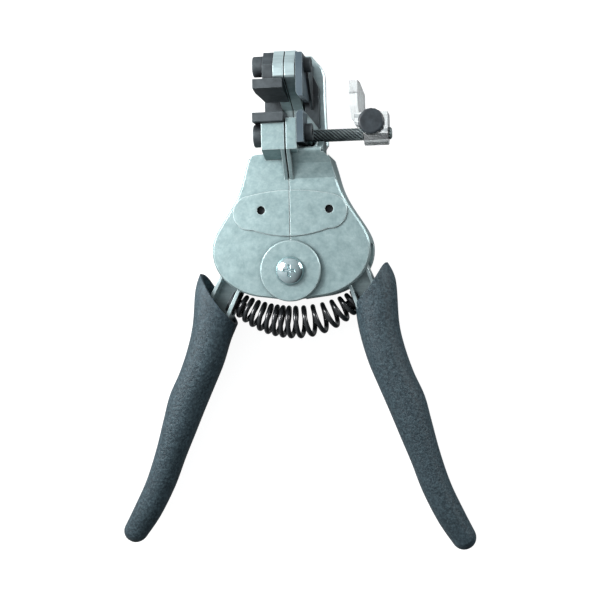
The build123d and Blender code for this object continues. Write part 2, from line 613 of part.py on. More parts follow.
def grip(side):
    """A dipped vinyl grip: full at the palm, slim below, and turned out at its rounded end."""
    line = [turned(side * x, y) for x, y in GRIP_LINE]
    with BuildPart() as sleeve:
        for i, ((x, y), width, depth) in enumerate(zip(line, GRIP_WIDTH, GRIP_DEPTH)):
            x0, y0 = line[max(i - 1, 0)]
            x1, y1 = line[min(i + 1, len(line) - 1)]
            across_axis = Plane(origin=(x, y, MID), x_dir=(y0 - y1, x1 - x0, 0), z_dir=(x1 - x0, y1 - y0, 0))
            with BuildSketch(across_axis):
                Ellipse(width / 2, depth / 2)
        loft()
        (xo, yo), (xi, yi) = GRIP_OUTER_TOP[side], GRIP_INNER_TOP[side]
        cut = Plane(origin=(side * xo, yo, 0), x_dir=(side * (xi - xo), yi - yo, 0),
                    z_dir=(side * (yi - yo), -(xi - xo), 0))
        split(bisect_by=cut, keep=Keep.BOTTOM)
        extrude(handle_bar(side, HANDLE_BACK), amount=HANDLE_FRONT - HANDLE_BACK, mode=Mode.SUBTRACT)
        extrude(disc(spring_end(side, -8.0), SPRING_R + 0.5), amount=10.2, mode=Mode.SUBTRACT)
    return sleeve


for side in (LEFT, RIGHT):
    save(handle(side), f"{NAMES[side]}_handle")
    save(grip(side), f"{NAMES[side]}_grip")

    # Cup with a peg that centres the end of the handle spring
    with BuildPart() as spring_seat:
        extrude(disc(spring_end(side, 0.3), SPRING_R), amount=1.9)
        extrude(disc(spring_end(side, -3.6), 2.0), amount=4.0)
    save(spring_seat, f"{NAMES[side]}_spring_seat")

with BuildPart() as handle_spring:
    end_x, end_y = SPRING_END
    with BuildLine() as spring_path:
        ThreePointArc((*turned(-end_x, end_y), MID), (*turned(0, SPRING_SAG), MID),
                      (*turned(end_x, end_y), MID))
    with BuildSketch(Plane(origin=spring_path.line @ 0, z_dir=spring_path.line % 0)):
        Circle(SPRING_R)
        Circle(SPRING_R - 1.9, mode=Mode.SUBTRACT)
    sweep()
save(handle_spring, "handle_spring")


# ------------------------------------------------------------------ wire stop
with BuildPart() as stop_rod:
    with BuildSketch(on_x(ROD_START, ROD_Y, ROD_Z)):
        Circle(ROD_R)
    extrude(amount=ROD_END - ROD_START)
    chamfer(stop_rod.edges().group_by(Axis.X)[-1], 0.5)
    with BuildSketch(on_x(2.8, ROD_Y, ROD_Z)):
        Circle(1.5)
    extrude(amount=ROD_START - 2.8)
save(stop_rod, "stop_rod")

with BuildPart() as wire_stop:
    with BuildSketch(on_x(28.5, ROD_Y, ROD_Z)):
        Circle(4.4)
        with Locations((3.6, 0)):
            RectangleRounded(8.2, 12.4, 1.6)
    extrude(amount=9.2)
    # Arm and the stop plate that the bared wire end meets
    link, width = across(RIGHT, 25.2, 29.0, [(54.6, 8.4), (54.6, 20.0), (59.0, 20.0), (59.0, 8.4)], 1.0)
    extrude(link, amount=width)
    with BuildPart() as stop_plate:
        plate, width = across(RIGHT, 22.0, 30.0, [(56.6, 10.0), (56.6, 18.0), (61.0, 22.6), (70.8, 22.6),
                                                  (70.8, 17.0), (67.6, 5.6), (60.4, 5.6)], 1.2)
        extrude(plate, amount=width)
        draft = [(23.6, 24.0), (26.7, 24.0), (28.3, 4.0), (24.9, 4.0)]
        extrude(profile(Plane.XZ.offset(-50.0), draft), amount=-30.0, mode=Mode.INTERSECT)
    add(stop_plate.part)
    with BuildSketch(on_x(20.0, ROD_Y, ROD_Z)):
        Circle(ROD_R + 0.05)
    extrude(amount=20.0, mode=Mode.SUBTRACT)
    with BuildSketch(on_x(28.0, ROD_Y - 3.5, ROD_Z)):
        Rectangle(6.0, 0.8)
    extrude(amount=10.0, mode=Mode.SUBTRACT)
    with Locations((STOP_SCREW_X, STOP_SCREW_Y, 0)):
        Cylinder(STOP_SCREW_R + RUNNING, 60.0, mode=Mode.SUBTRACT)
save(wire_stop, "wire_stop")

with BuildPart() as thumb_screw:
    with BuildSketch(Plane(origin=(STOP_SCREW_X, STOP_SCREW_Y, 20.8))):
        Circle(4.9)
    extrude(amount=4.4)
    fillet(thumb_screw.edges().group_by(Axis.Z)[-1], 1.0)
    with BuildSketch(Plane(origin=(STOP_SCREW_X, STOP_SCREW_Y, 20.8))):
        with PolarLocations(5.1, 18):
            Circle(0.42)
    extrude(amount=4.4, mode=Mode.SUBTRACT)
    with BuildSketch(Plane(origin=(STOP_SCREW_X, STOP_SCREW_Y, 6.6))):
        Circle(STOP_SCREW_R)
    extrude(amount=14.3)
save(thumb_screw, "thumb_screw")
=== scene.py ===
import json
from math import atan2, cos, pi, radians, sin

import bmesh
import bpy
from mathutils import Matrix, Vector


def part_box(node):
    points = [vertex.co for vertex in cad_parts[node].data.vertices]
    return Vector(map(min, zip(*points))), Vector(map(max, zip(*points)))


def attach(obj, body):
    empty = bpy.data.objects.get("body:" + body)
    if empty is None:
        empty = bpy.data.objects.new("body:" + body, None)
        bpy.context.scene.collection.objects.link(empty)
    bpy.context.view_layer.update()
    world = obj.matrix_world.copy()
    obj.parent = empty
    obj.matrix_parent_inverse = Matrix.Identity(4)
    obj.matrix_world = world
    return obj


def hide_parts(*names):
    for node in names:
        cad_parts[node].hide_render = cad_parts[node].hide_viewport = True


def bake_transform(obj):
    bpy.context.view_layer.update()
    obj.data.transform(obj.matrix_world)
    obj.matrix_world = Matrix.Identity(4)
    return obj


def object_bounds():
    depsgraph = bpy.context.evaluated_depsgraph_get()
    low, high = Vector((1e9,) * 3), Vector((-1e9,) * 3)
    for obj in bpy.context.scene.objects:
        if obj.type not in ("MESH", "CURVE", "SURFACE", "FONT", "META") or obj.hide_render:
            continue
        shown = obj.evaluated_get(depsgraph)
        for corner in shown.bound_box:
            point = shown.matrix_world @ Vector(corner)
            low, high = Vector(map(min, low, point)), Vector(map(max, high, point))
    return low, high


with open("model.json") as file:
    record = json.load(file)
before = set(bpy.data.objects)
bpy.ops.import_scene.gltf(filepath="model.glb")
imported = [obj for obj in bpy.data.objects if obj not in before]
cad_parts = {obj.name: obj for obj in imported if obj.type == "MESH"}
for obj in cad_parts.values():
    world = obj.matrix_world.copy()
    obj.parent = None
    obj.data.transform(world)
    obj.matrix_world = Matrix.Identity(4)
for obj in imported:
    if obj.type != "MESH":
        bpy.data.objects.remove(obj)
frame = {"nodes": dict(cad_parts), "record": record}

# An automatic wire stripper lying on its back on a white floor: +X right, +Y towards the jaws,
# +Z out of the front. Sizes are in millimetres and are turned into metres as each mesh is made;
# only the lights and the floor are placed in metres.

MM = 0.001
cad_low, cad_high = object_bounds()


def mm_box(node):
    """Lowest and highest corner of a CAD node, in millimetres."""
    low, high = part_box(node)
    return [v / MM for v in low], [v / MM for v in high]


# ------------------------------------------------------------------ camera, floor and light
CAMERA_DISTANCE = 450.0
CAMERA_SIDE = radians(8.5)      # the camera stands this far to the right of the tool's front
CAMERA_ROLL = radians(1.15)
CAMERA_AIM = Vector((4.0, -11.1, 25.0))
VIEW_WIDTH = 224.4              # width of the picture at the aim point
SENSOR = 36.0
LIGHT_AIM = Vector((0, 0, 0.01))
ROOM_BRIGHT_SIDE = Vector((-0.75, 0.50, 0.35))
ROOM_DIM, ROOM_BRIGHT = 0.06, 0.80      # strength of the room's light on its two sides
FLOOR_REACH = 3.0
FLOOR_DROP = 0.0002             # the floor lies this far below the tool's back
FLOOR_GLOW = 0.92


def add_camera():
    back = Vector((sin(CAMERA_SIDE), 0, cos(CAMERA_SIDE)))
    right = Vector((cos(CAMERA_SIDE), 0, -sin(CAMERA_SIDE)))
    up = Vector((0, 1, 0))
    across = right * cos(CAMERA_ROLL) - up * sin(CAMERA_ROLL)
    upward = right * sin(CAMERA_ROLL) + up * cos(CAMERA_ROLL)
    place = (CAMERA_AIM + back * CAMERA_DISTANCE) * MM
    data = bpy.data.cameras.new("camera")
    data.sensor_width = SENSOR
    data.lens = SENSOR * CAMERA_DISTANCE / VIEW_WIDTH
    data.clip_start = 0.01
    camera = bpy.data.objects.new("camera", data)
    camera.matrix_world = Matrix((
        (across.x, upward.x, back.x, place.x),
        (across.y, upward.y, back.y, place.y),
        (across.z, upward.z, back.z, place.z),
        (0, 0, 0, 1)))
    bpy.context.collection.objects.link(camera)
    bpy.context.scene.camera = camera


def add_area_light(name, place, size, power):
    """A square lamp aimed at the middle of the tool, which the camera itself doesn't see."""
    data = bpy.data.lights.new(name, "AREA")
    data.size = size
    data.energy = power
    light = bpy.data.objects.new(name, data)
    light.location = place
    light.rotation_euler = (LIGHT_AIM - Vector(place)).to_track_quat("-Z", "Y").to_euler()
    light.visible_camera = False
    bpy.context.collection.objects.link(light)


def add_room():
    """World light that is strong behind the key light and weak on the far side."""
    world = bpy.data.worlds.new("studio")
    world.use_nodes = True
    tree = world.node_tree
    background = tree.nodes["Background"]
    background.inputs["Color"].default_value = (0.93, 0.97, 1.0, 1)
    direction = tree.nodes.new("ShaderNodeTexCoord")
    towards = tree.nodes.new("ShaderNodeVectorMath")
    towards.operation = "DOT_PRODUCT"
    towards.inputs[1].default_value = ROOM_BRIGHT_SIDE.normalized()
    strength = tree.nodes.new("ShaderNodeMapRange")
    strength.inputs["From Min"].default_value = -0.8
    strength.inputs["From Max"].default_value = 0.9
    strength.inputs["To Min"].default_value = ROOM_DIM
    strength.inputs["To Max"].default_value = ROOM_BRIGHT
    tree.links.new(direction.outputs["Generated"], towards.inputs[0])
    tree.links.new(towards.outputs["Value"], strength.inputs["Value"])
    tree.links.new(strength.outputs["Result"], background.inputs["Strength"])
    bpy.context.scene.world = world


def add_lights():
    """A key, a small lamp close by that falls off across the tool, and a low rim light."""
    add_area_light("key", (-0.90, 0.66, 1.05), 0.40, 8.5)
    add_area_light("near", (-0.155, 0.075, 0.135), 0.11, 0.60)
    add_area_light("rim", (0.45, 0.25, 0.12), 0.25, 2.0)
    bpy.context.scene.view_settings.view_transform = "Standard"


def add_floor():
    """A floor that glows like a light table, so that shadows on it stay faint."""
    mesh = bpy.data.meshes.new("floor")
    level = cad_low[2] - FLOOR_DROP
    corners = ((-1, -1), (1, -1), (1, 1), (-1, 1))
    mesh.from_pydata([(x * FLOOR_REACH, y * FLOOR_REACH, level) for x, y in corners], [], [(0, 1, 2, 3)])
    floor = bpy.data.objects.new("floor", mesh)
    bpy.context.collection.objects.link(floor)
    material = bpy.data.materials.new("floor")
    material.use_nodes = True
    shader = material.node_tree.nodes["Principled BSDF"]
    shader.inputs["Base Color"].default_value = (0.25, 0.25, 0.25, 1)
    shader.inputs["Roughness"].default_value = 0.7
    shader.inputs["Emission Color"].default_value = (1, 1, 1, 1)
    shader.inputs["Emission Strength"].default_value = FLOOR_GLOW
    mesh.materials.append(material)
    # The floor sends no light back, so the tool's sides stay dark
    floor.visible_diffuse = False
    floor.visible_glossy = False


# ------------------------------------------------------------------ materials
EDGE_STARTS, EDGE_FULL = 0.995, 0.875   # how far the bevelled normal agrees with the real one


class Finish:
    """A Principled material with a few procedural layers, all in object coordinates."""

    def __init__(self, name, roughness, metallic=0.0, **sockets):
        self.material = bpy.data.materials.new(name)
        self.material.use_nodes = True
        self.tree = self.material.node_tree
        self.shader = self.tree.nodes["Principled BSDF"]
        self.shader.inputs["Roughness"].default_value = roughness
        self.shader.inputs["Metallic"].default_value = metallic
        for socket, value in sockets.items():
            self.shader.inputs[socket.replace("_", " ")].default_value = value
        self.place = self.add("ShaderNodeTexCoord").outputs["Object"]
        self.height = None

    def add(self, kind, **settings):
        node = self.tree.nodes.new(kind)
        for key, value in settings.items():
            setattr(node, key, value)
        return node

    def link(self, output, socket):
        self.tree.links.new(output, socket)

    def stretched(self, scale):
        """The object coordinates, scaled by axis, for brushed or drawn surfaces."""
        mapping = self.add("ShaderNodeMapping")
        mapping.inputs["Scale"].default_value = scale
        self.link(self.place, mapping.inputs["Vector"])
        return mapping.outputs["Vector"]

    def noise(self, scale, detail=3.0, rough=0.55, where=None):
        node = self.add("ShaderNodeTexNoise")
        node.inputs["Scale"].default_value = scale
        node.inputs["Detail"].default_value = detail
        node.inputs["Roughness"].default_value = rough
        self.link(where or self.place, node.inputs["Vector"])
        return node.outputs["Fac"]

    def cells(self, scale):
        node = self.add("ShaderNodeTexVoronoi")
        node.inputs["Scale"].default_value = scale
        self.link(self.place, node.inputs["Vector"])
        return node.outputs["Distance"]

    def ramp(self, fac, *stops):
        node = self.add("ShaderNodeValToRGB")
        elements = node.color_ramp.elements
        while len(elements) < len(stops):
            elements.new(0.5)
        for element, (position, colour) in zip(elements, stops):
            element.position = position
            element.color = (*colour, 1)
        self.link(fac, node.inputs["Fac"])
        return node.outputs["Color"]

    def mix(self, fac, low, high):
        """low where fac is 0 and high where it is 1; each is an output, a number or a colour."""
        node = self.add("ShaderNodeMix", data_type="RGBA")
        fac_socket, low_socket, high_socket = node.inputs[0], node.inputs[6], node.inputs[7]
        for socket, value in ((fac_socket, fac), (low_socket, low), (high_socket, high)):
            if isinstance(value, (int, float)):
                socket.default_value = value
            elif isinstance(value, tuple):
                socket.default_value = (*value, 1)
            else:
                self.link(value, socket)
        return node.outputs[2]

    def span(self, fac, low, high):
        """fac, from 0 to 1, stretched to low..high."""
        node = self.add("ShaderNodeMapRange")
        node.inputs["To Min"].default_value = low
        node.inputs["To Max"].default_value = high
        self.link(fac, node.inputs["Value"])
        return node.outputs["Result"]

    def edges(self, radius):
        """1 along the outer edges and 0 elsewhere, for the bright colour painted there: partly edge
        wear, partly painted highlight.
        """
        bevel = self.add("ShaderNodeBevel", samples=6)
        bevel.inputs["Radius"].default_value = radius * MM
        geometry = self.add("ShaderNodeNewGeometry")
        dot = self.add("ShaderNodeVectorMath", operation="DOT_PRODUCT")
        self.link(bevel.outputs["Normal"], dot.inputs[0])
        self.link(geometry.outputs["Normal"], dot.inputs[1])
        bend = self.add("ShaderNodeMapRange")
        bend.inputs["From Min"].default_value = EDGE_STARTS
        bend.inputs["From Max"].default_value = EDGE_FULL
        self.link(dot.outputs["Value"], bend.inputs["Value"])
        product = self.add("ShaderNodeMath", operation="MULTIPLY")
        self.link(bend.outputs["Result"], product.inputs[0])
        self.link(self.open_sky(0.8, 0.45, 0.60), product.inputs[1])
        return product.outputs["Value"]

    def open_sky(self, distance, low, high):
        """0 deep in a crevice and 1 in the open, the mask for painted shade in corners and recesses."""
        shade = self.add("ShaderNodeAmbientOcclusion", samples=6)
        shade.inputs["Distance"].default_value = distance * MM
        node = self.add("ShaderNodeMapRange")
        node.inputs["From Min"].default_value = low
        node.inputs["From Max"].default_value = high
        self.link(shade.outputs["AO"], node.inputs["Value"])
        return node.outputs["Result"]

    def colour(self, output):
        self.link(output, self.shader.inputs["Base Color"])

    def roughness(self, output):
        self.link(output, self.shader.inputs["Roughness"])

    def bump(self, output, strength, distance):
        """Adds a layer of relief, with its depth in millimetres."""
        node = self.add("ShaderNodeBump")
        node.inputs["Strength"].default_value = strength
        node.inputs["Distance"].default_value = distance * MM
        self.link(output, node.inputs["Height"])
        if self.height:
            self.link(self.height, node.inputs["Normal"])
        self.height = node.outputs["Normal"]
        self.link(self.height, self.shader.inputs["Normal"])

    def soften(self, radius):
        """Rounds sharp edges in the shading by a radius in millimetres."""
        node = self.add("ShaderNodeBevel", samples=4)
        node.inputs["Radius"].default_value = radius * MM
        self.height = node.outputs["Normal"]
        self.link(self.height, self.shader.inputs["Normal"])


def cast_metal():
    """Tumbled die casting: satin, mottled by its cooling skin, with painted shade in its corners and
    edges painted bright, partly wear and partly highlight.
    """
    f = Finish("cast_metal", 0.46, 0.62)
    f.soften(0.5)
    blotch = f.noise(320, 6, 0.72)
    base = f.ramp(blotch, (0.32, (0.228, 0.318, 0.324)), (0.50, (0.315, 0.418, 0.424)),
                  (0.68, (0.405, 0.518, 0.522)))
    fine = f.noise(1300, 4, 0.7)
    base = f.mix(f.span(fine, 0.0, 0.60), base, (0.155, 0.235, 0.245))
    # Painted shade: darker in corners and recesses
    base = f.mix(f.open_sky(3.0, 0.25, 0.85), (0.045, 0.065, 0.072), base)
    # Edges painted bright: partly wear, partly painted highlight
    f.colour(f.mix(f.edges(0.40), base, (0.66, 0.78, 0.78)))
    f.roughness(f.span(f.noise(260, 4), 0.34, 0.58))
    f.bump(f.noise(1300, 4, 0.6), 0.30, 0.05)
    f.bump(f.noise(200, 3), 0.30, 0.10)
    return f.material


def lever_metal():
    """Plated lever and handle metal, smoother than the castings, with faint draw lines."""
    f = Finish("lever_metal", 0.38, 0.70)
    f.soften(0.35)
    drawn = f.noise(60, 4, 0.6, f.stretched((1, 12, 1)))
    base = f.ramp(drawn, (0.35, (0.42, 0.53, 0.545)), (0.65, (0.58, 0.70, 0.71)))
    base = f.mix(f.span(f.noise(900, 3), 0.0, 0.30), base, (0.24, 0.32, 0.33))
    # Painted shade: darker in corners and recesses
    base = f.mix(f.open_sky(3.0, 0.10, 0.75), (0.075, 0.110, 0.122), base)
    # Edges painted bright: partly wear, partly painted highlight
    f.colour(f.mix(f.edges(0.35), base, (0.70, 0.82, 0.82)))
    f.roughness(f.span(f.noise(300, 3), 0.28, 0.48))
    f.bump(f.noise(900, 3), 0.25, 0.04)
    return f.material


def plated_steel():
    f = Finish("plated_steel", 0.34, 0.70)
    f.soften(0.3)
    base = f.ramp(f.noise(260, 5, 0.65), (0.3, (0.30, 0.405, 0.41)), (0.7, (0.42, 0.53, 0.535)))
    base = f.mix(f.span(f.noise(1300, 3), 0.0, 0.30), base, (0.24, 0.33, 0.34))
    # Edges painted bright: partly wear, partly painted highlight
    f.colour(f.mix(f.edges(0.30), base, (0.70, 0.82, 0.82)))
    f.roughness(f.span(f.noise(500, 3), 0.26, 0.44))
    f.bump(f.noise(1200, 2), 0.15, 0.03)
    return f.material


def bright_screw():
    f = Finish("bright_screw", 0.10, 1.0)
    f.soften(0.25)
    f.colour(f.ramp(f.noise(300, 3), (0.3, (0.52, 0.68, 0.70)), (0.7, (0.74, 0.88, 0.90))))
    f.roughness(f.span(f.noise(700, 3), 0.06, 0.15))
    f.bump(f.noise(900, 2), 0.10, 0.02)
    return f.material


def black_steel():
    """Black oxide over machined steel, with painted shade in its recesses and edges painted grey, partly
    wear and partly highlight.
    """
    f = Finish("black_steel", 0.42, 0.30)
    f.soften(0.25)
    base = f.ramp(f.noise(350, 4, 0.6), (0.30, (0.030, 0.038, 0.043)), (0.70, (0.066, 0.080, 0.088)))
    # Painted shade: near black in corners and recesses
    base = f.mix(f.open_sky(4.0, 0.30, 0.90), (0.008, 0.007, 0.010), base)
    # Edges painted grey: partly wear, partly painted highlight
    f.colour(f.mix(f.edges(0.22), base, (0.20, 0.24, 0.25)))
    f.roughness(f.span(f.noise(600, 4), 0.38, 0.60))
    f.bump(f.noise(1600, 3), 0.25, 0.03)
    return f.material


def blade_steel():
    """Blued tool steel, ground along its length."""
    f = Finish("blade_steel", 0.36, 0.50)
    f.soften(0.12)
    ground = f.noise(40, 3, 0.6, f.stretched((1, 1, 30)))
    base = f.ramp(ground, (0.30, (0.060, 0.088, 0.108)), (0.70, (0.120, 0.160, 0.188)))
    # Painted shade: near black in corners and recesses
    base = f.mix(f.open_sky(3.0, 0.30, 0.90), (0.010, 0.011, 0.014), base)
    # Edges painted bright: partly wear, partly painted highlight
    f.colour(f.mix(f.edges(0.16), base, (0.34, 0.41, 0.43)))
    f.roughness(f.span(ground, 0.28, 0.46))
    f.bump(ground, 0.2, 0.03)
    return f.material


def spring_steel():
    f = Finish("spring_steel", 0.22, 0.35, Coat_Weight=0.5, Coat_Roughness=0.12)
    f.colour(f.ramp(f.noise(500, 3), (0.3, (0.008, 0.009, 0.011)), (0.7, (0.024, 0.027, 0.030))))
    f.roughness(f.span(f.noise(800, 3), 0.16, 0.34))
    f.bump(f.noise(1500, 3), 0.2, 0.02)
    return f.material


def knurled_steel():
    """Black steel rod, lighter on its knurl's ridges as a painted highlight, with painted shade in its
    grooves.
    """
    f = Finish("knurled_steel", 0.40, 0.40)
    ridge = f.ramp(f.noise(600, 3), (0.3, (0.10, 0.13, 0.135)), (0.7, (0.22, 0.27, 0.275)))
    # Painted shade in the knurl's grooves; the lighter ridge colour stands in for their highlight
    f.colour(f.mix(f.open_sky(0.8, 0.62, 1.0), (0.004, 0.005, 0.006), ridge))
    f.roughness(f.span(f.noise(900, 3), 0.30, 0.50))
    f.bump(f.noise(2200, 2), 0.2, 0.02)
    return f.material


def grip_vinyl():
    """Dipped vinyl with a coarse leathery skin, lighter on its high spots."""
    f = Finish("grip_vinyl", 0.50, 0.0, Specular_IOR_Level=0.42)
    base = f.ramp(f.noise(60, 5, 0.6), (0.30, (0.007, 0.018, 0.025)), (0.70, (0.020, 0.038, 0.050)))
    leather = f.noise(1050, 5, 0.72)
    base = f.mix(f.ramp(leather, (0.43, (0.0, 0.0, 0.0)), (0.64, (0.62, 0.62, 0.62))), base,
                 (0.078, 0.126, 0.148))
    f.colour(base)
    f.roughness(f.span(leather, 0.36, 0.66))
    f.bump(f.cells(1300), 0.7, -0.12)
    f.bump(leather, 1.0, 0.35)
    return f.material


def clear_plastic():
    f = Finish("clear_plastic", 0.06, 0.0, IOR=1.49, Transmission_Weight=0.84)
    f.colour(f.ramp(f.noise(120, 2), (0.3, (0.90, 0.96, 0.97)), (0.7, (0.97, 0.99, 0.99))))
    f.roughness(f.span(f.noise(500, 3), 0.03, 0.12))
    f.bump(f.noise(260, 2), 0.12, 0.06)
    return f.material


def black_plastic():
    f = Finish("black_plastic", 0.38, 0.0)
    f.soften(0.3)
    base = f.ramp(f.noise(500, 3), (0.3, (0.012, 0.017, 0.021)), (0.7, (0.032, 0.042, 0.050)))
    # Edges painted lighter: partly wear, partly painted highlight
    f.colour(f.mix(f.edges(0.25), base, (0.09, 0.12, 0.12)))
    f.roughness(f.span(f.noise(900, 3), 0.28, 0.48))
    f.bump(f.noise(1800, 3), 0.25, 0.03)
    return f.material


FINISHES = {make.__name__: make for make in (
    cast_metal, lever_metal, plated_steel, bright_screw, black_steel, blade_steel, spring_steel,
    knurled_steel, grip_vinyl, clear_plastic, black_plastic)}
# Plated pieces drawn in the black steel finish instead of their record's slot, so that they show dark
FINISH_OF = {"left_spring_seat": "black_steel", "right_spring_seat": "black_steel"}
materials = {}


def finish(slot):
    """The material of one of the record's slots, made once."""
    if slot not in materials:
        materials[slot] = FINISHES[slot]()
    return materials[slot]


def finish_cad_nodes():
    for subpart in frame["record"]["subparts"]:
        node = frame["nodes"][subpart["node"]]
        node.data.materials.clear()
        node.data.materials.append(finish(FINISH_OF.get(subpart["node"], subpart["material_slot"])))


# ------------------------------------------------------------------ mesh helpers
X_WAY, Y_WAY, Z_WAY = Vector((1, 0, 0)), Vector((0, 1, 0)), Vector((0, 0, 1))


def make_piece(name, points, faces, slot, body):
    """A mesh object from points in millimetres, with its slot's finish, riding on a body."""
    mesh = bpy.data.meshes.new(name)
    mesh.from_pydata([Vector(p) * MM for p in points], [], faces)
    mesh.validate()
    bm = bmesh.new()
    bm.from_mesh(mesh)
    bmesh.ops.remove_doubles(bm, verts=bm.verts, dist=1e-7)
    bmesh.ops.recalc_face_normals(bm, faces=bm.faces)
    bm.to_mesh(mesh)
    bm.free()
    for polygon in mesh.polygons:
        polygon.use_smooth = True
    mesh.materials.append(finish(slot))
    piece = bpy.data.objects.new(name, mesh)
    bpy.context.collection.objects.link(piece)
    if body:
        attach(piece, body)
    return piece


def skin_rings(rings, close_start=True):
    """Points and faces of a surface through equal rings, closed at its end and maybe its start."""
    count = len(rings[0])
    points = [p for ring in rings for p in ring]
    faces = []
    for i in range(len(rings) - 1):
        for j in range(count):
            k = (j + 1) % count
            faces.append((i * count + j, i * count + k, (i + 1) * count + k, (i + 1) * count + j))
    if close_start:
        faces.append(tuple(range(count))[::-1])
    faces.append(tuple(range((len(rings) - 1) * count, len(rings) * count)))
    return points, faces


def curve_through(points, t):
    """A point on the smooth curve through a list of points, for t from 0 to 1."""
    last = len(points) - 1
    place = min(max(t, 0.0), 1.0) * last
    i = min(int(place), last - 1)
    u = place - i
    p0, p1 = Vector(points[max(i - 1, 0)]), Vector(points[i])
    p2, p3 = Vector(points[i + 1]), Vector(points[min(i + 2, last)])
    return 0.5 * (2 * p1 + (p2 - p0) * u + (2 * p0 - 5 * p1 + 4 * p2 - p3) * u * u
                  + (3 * p1 - p0 - 3 * p2 + p3) * u ** 3)


def round_ring(centre, first, second, radius, sides):
    """Points of a circle about a centre, in the plane of two unit vectors."""
    return [centre + (first * cos(2 * pi * k / sides) + second * sin(2 * pi * k / sides)) * radius
            for k in range(sides)]


def tube_rings(line, radius, sides):
    """Rings of a round tube along a line of points, without twist."""
    rings = []
    tangent = (line[1] - line[0]).normalized()
    normal = tangent.orthogonal().normalized()
    for i, point in enumerate(line):
        ahead = line[min(i + 1, len(line) - 1)] - line[max(i - 1, 0)]
        tangent = ahead.normalized()
        normal = (normal - tangent * normal.dot(tangent)).normalized()
        rings.append(round_ring(point, normal, tangent.cross(normal), radius, sides))
    return rings


# ------------------------------------------------------------------ grips
MID = 10.0                      # height of the middle of the handles, grips and spring
TILT = radians(-0.7)            # the pair of handles rests turned this far about the pivot
# Outer and inner edge of a grip, mirrored for the left: first its open top, which differs
GRIP_TOPS = {"left": ([(36.8, 0.4), (39.0, -6.5)], [(22.9, -20.3), (24.3, -23.4)]),
             "right": ([(35.3, 4.1), (38.9, -3.5)], [(23.5, -12.8), (24.2, -19.5)])}
GRIP_OUTER = [(40.1, -19.5), (42.0, -28.5), (45.4, -38.5), (49.6, -47.8), (52.2, -57.5), (55.2, -69.0),
              (59.2, -81.0), (64.1, -91.4), (68.0, -99.0)]
GRIP_INNER = [(26.0, -27.5), (28.7, -36.0), (32.6, -45.2), (36.3, -53.8), (40.2, -63.2), (44.3, -73.0),
              (48.6, -84.2), (54.4, -95.6), (60.0, -103.8)]
GRIP_DEPTH = [19.2, 19.4, 19.4, 19.4, 19.0, 18.6, 18.0, 17.0, 16.0, 14.6, 12.0]
GRIP_STATIONS = 100
GRIP_SIDES = 56
GRIP_WALL = 1.3
GRIP_SQUARE = 0.88              # 1 for an ellipse, less for a fuller section
GRIP_END_RINGS = 8
# The open top, along a grip's length as a share of the whole: how far its front and back dip, how
# far its outer and inner tips are blunted, and where the shaping ends
MOUTH_DIP, OUTER_BLUNT, INNER_BLUNT, MOUTH_END = 0.026, 0.022, 0.014, 0.15


def turned(x, y):
    """A point of the handles, turned about the pivot with them."""
    return x * cos(TILT) - y * sin(TILT), y * cos(TILT) + x * sin(TILT)


def grip_point(name, t, k, inset=0.0):
    """A point of a grip's skin: its section is a full-cheeked oblong between its two edges."""
    side = -1 if name == "left" else 1
    outer_top, inner_top = GRIP_TOPS[name]
    outer = curve_through([(*turned(side * x, y), MID) for x, y in outer_top + GRIP_OUTER], t)
    inner = curve_through([(*turned(side * x, y), MID) for x, y in inner_top + GRIP_INNER], t)
    depth = curve_through([(d, 0, 0) for d in GRIP_DEPTH], t).x / 2 - inset
    centre = (outer + inner) / 2
    half = (outer - inner) / 2
    half = half * (1 - inset / half.length)
    c, s = cos(2 * pi * k / GRIP_SIDES), sin(2 * pi * k / GRIP_SIDES)
    u = (abs(c) ** GRIP_SQUARE) * (1 if c >= 0 else -1)
    v = (abs(s) ** GRIP_SQUARE) * (1 if s >= 0 else -1)
    return centre + half * u + Vector((0, 0, depth * v))


def grip_ring(name, t, inset=0.0):
    """A ring round a grip; near the open top it follows the dip of the mouth and its blunt tips."""
    ring = []
    for k in range(GRIP_SIDES):
        c = cos(2 * pi * k / GRIP_SIDES)
        dip = MOUTH_DIP * (1 - c * c) + OUTER_BLUNT * max(c, 0) ** 8 + INNER_BLUNT * max(-c, 0) ** 8
        ring.append(grip_point(name, t + dip * max(0, 1 - t / MOUTH_END), k, inset))
    return ring


def add_grip(name):
    """One dipped grip with an open top and a rounded end."""
    # Inside of the open top, over its rim, then down the outside
    rings = [grip_ring(name, t, inset) for t, inset in
             ((0.08, GRIP_WALL), (0.02, GRIP_WALL), (0.0, GRIP_WALL * 0.8), (0.0, GRIP_WALL * 0.3))]
    rings += [grip_ring(name, i / GRIP_STATIONS) for i in range(GRIP_STATIONS + 1)]
    # Rounded end
    last = rings[-1]
    centre = sum(last, Vector()) / len(last)
    reach = max((p - centre).xy.length for p in last)
    along = (centre - sum(rings[-3], Vector()) / len(last)).normalized()
    for i in range(1, GRIP_END_RINGS + 1):
        a = i / GRIP_END_RINGS * pi / 2
        rings.append([centre + (p - centre) * max(cos(a), 0.02) + along * sin(a) * reach for p in last])
    points, faces = skin_rings(rings, close_start=False)
    piece = make_piece(f"{name}_grip_skin", points, faces, "grip_vinyl", f"{name}_handle")
    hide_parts(f"{name}_grip")


# ------------------------------------------------------------------ handle spring
SPRING_END = Vector((23.2, -11.3, MID))
SPRING_SAG = -19.6
SPRING_COILS = 15.5
SPRING_END_R, SPRING_BULGE = 3.2, 2.3   # radius of the end coils, and how much the middle adds
SPRING_LEAN, SPRING_CROWD = 0.07, 0.012  # closer coils on the left, and at both ends
SPRING_CUT = 10.5               # the inner stretches end this far to each side
WIRE_R = 0.95
WIRE_SIDES = 12
STEPS_PER_COIL = 28


